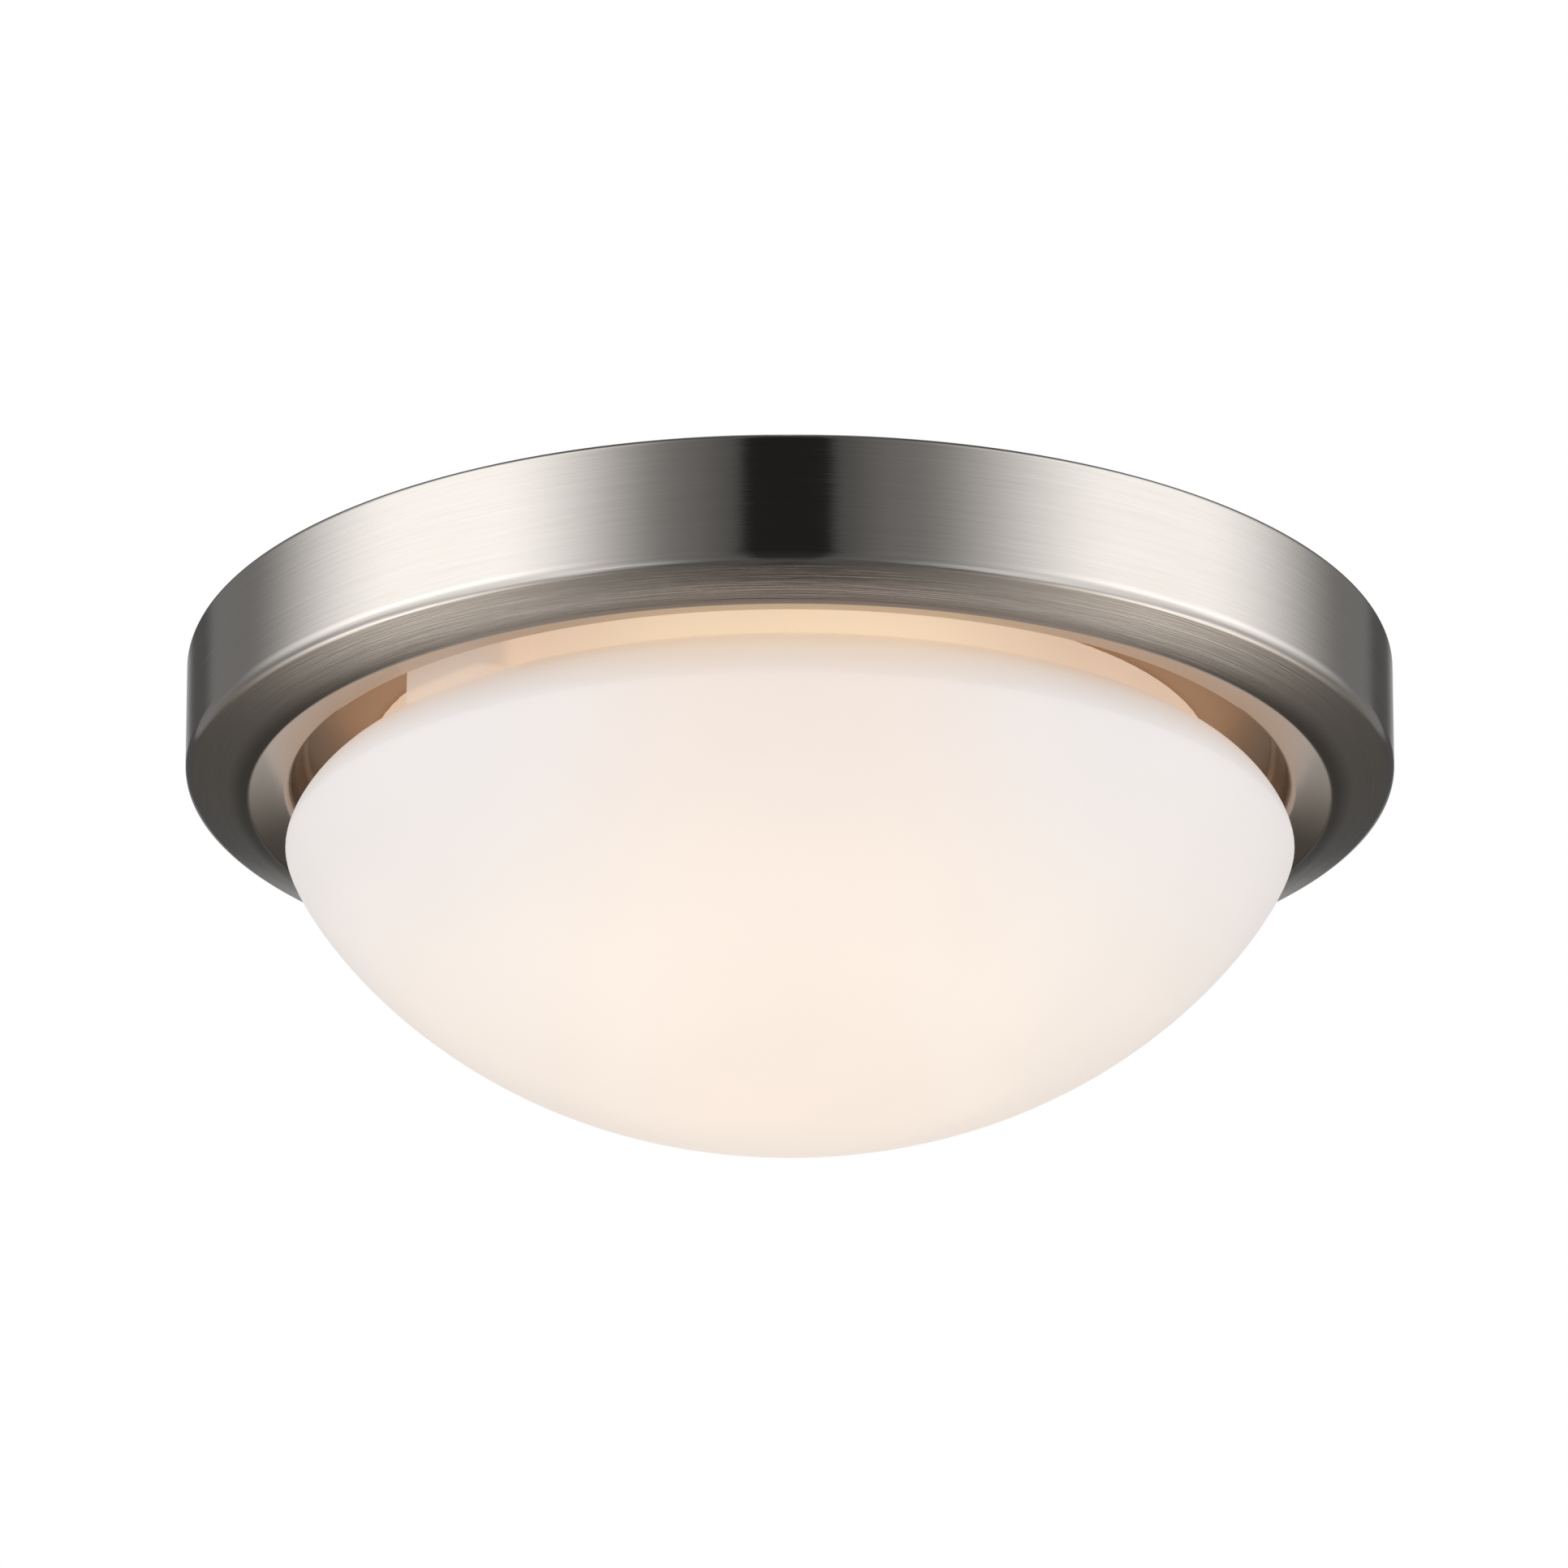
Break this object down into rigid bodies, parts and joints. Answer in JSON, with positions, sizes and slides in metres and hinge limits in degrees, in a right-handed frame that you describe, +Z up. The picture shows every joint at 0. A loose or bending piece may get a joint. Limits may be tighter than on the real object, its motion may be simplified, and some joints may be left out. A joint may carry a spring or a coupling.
{
  "type": "flush mount ceiling light",
  "caption": "Round flush mount ceiling light: brushed metal pan with bevelled rim and recessed plate, opal mushroom glass shade on twist holders, screw-base lamps inside.",
  "frame": {"origin": "centre of the ceiling plane, midway between the two outlet box slots of the mounting strap", "axes": "+Z up into the ceiling, the light hangs to -Z; -Y is the side nearest the viewer of the picture; the strap lies along X"},
  "size_m": [0.3318, 0.3318, 0.1302],
  "materials": {
    "brushed_nickel": "spun sheet, brushed round its axis, clear lacquer",
    "opal_glass": "blown opal glass, glossy, white all through",
    "zinc_steel": "bright zinc plated sheet and screws",
    "spring_steel": "plated spring strip",
    "clear_vinyl": "soft translucent sleeve",
    "white_ceramic": "glazed white lampholder",
    "shell_metal": "plated screw shell",
    "contact_brass": "brass spring strip",
    "bulb_glass": "soft white coated lamp glass",
    "cap_metal": "lamp cap",
    "cap_insulator": "black glass insulator",
    "solder": "soldered end contact",
    "bushing_plastic": "black snap bushing",
    "glass_fibre": "glass fibre wool",
    "ground_green": "green passivated screw"
  },
  "bodies": {
    "fixture": {"ceiling_pan": "brushed_nickel", "wire_bushing": "bushing_plastic", "insulation_pad": "glass_fibre", "mounting_strap": "zinc_steel", "mounting_screws": "zinc_steel", "ground_screw": "ground_green", "holder_rivets": "zinc_steel", "bracket_rivets": "zinc_steel", "lampholder_screws": "zinc_steel", "contact_rivets": "contact_brass", "glass_holder_a": "spring_steel", "holder_sleeve_a": "clear_vinyl", "lampholder_bracket_a": "zinc_steel", "lampholder_body_a": "white_ceramic", "screw_shell_a": "shell_metal", "centre_contact_a": "contact_brass", "glass_holder_b": "spring_steel", "holder_sleeve_b": "clear_vinyl", "lampholder_bracket_b": "zinc_steel", "lampholder_body_b": "white_ceramic", "screw_shell_b": "shell_metal", "centre_contact_b": "contact_brass"},
    "shade": {"glass_shade": "opal_glass"},
    "lamp_a": {"bulb_glass_a": "bulb_glass", "bulb_cap_a": "cap_metal", "bulb_insulator_a": "cap_insulator", "bulb_contact_a": "solder"},
    "lamp_b": {"bulb_glass_b": "bulb_glass", "bulb_cap_b": "cap_metal", "bulb_insulator_b": "cap_insulator", "bulb_contact_b": "solder"}
  },
  "joints": [
    {"name": "shade_twist", "type": "hinge", "parent": "fixture", "child": "shade", "pos_m": [0, 0, -0.0227], "axis": [0, 0, -1], "range_deg": [0, 30]},
    {"name": "lamp_a_turn", "type": "hinge", "parent": "fixture", "child": "lamp_a", "pos_m": [-0.078, 0.036, -0.062], "axis": [1, 0, 0], "range_deg": [0, 1350]},
    {"name": "lamp_b_turn", "type": "hinge", "parent": "fixture", "child": "lamp_b", "pos_m": [0.078, -0.036, -0.062], "axis": [-1, 0, 0], "range_deg": [0, 1350]}
  ]
}
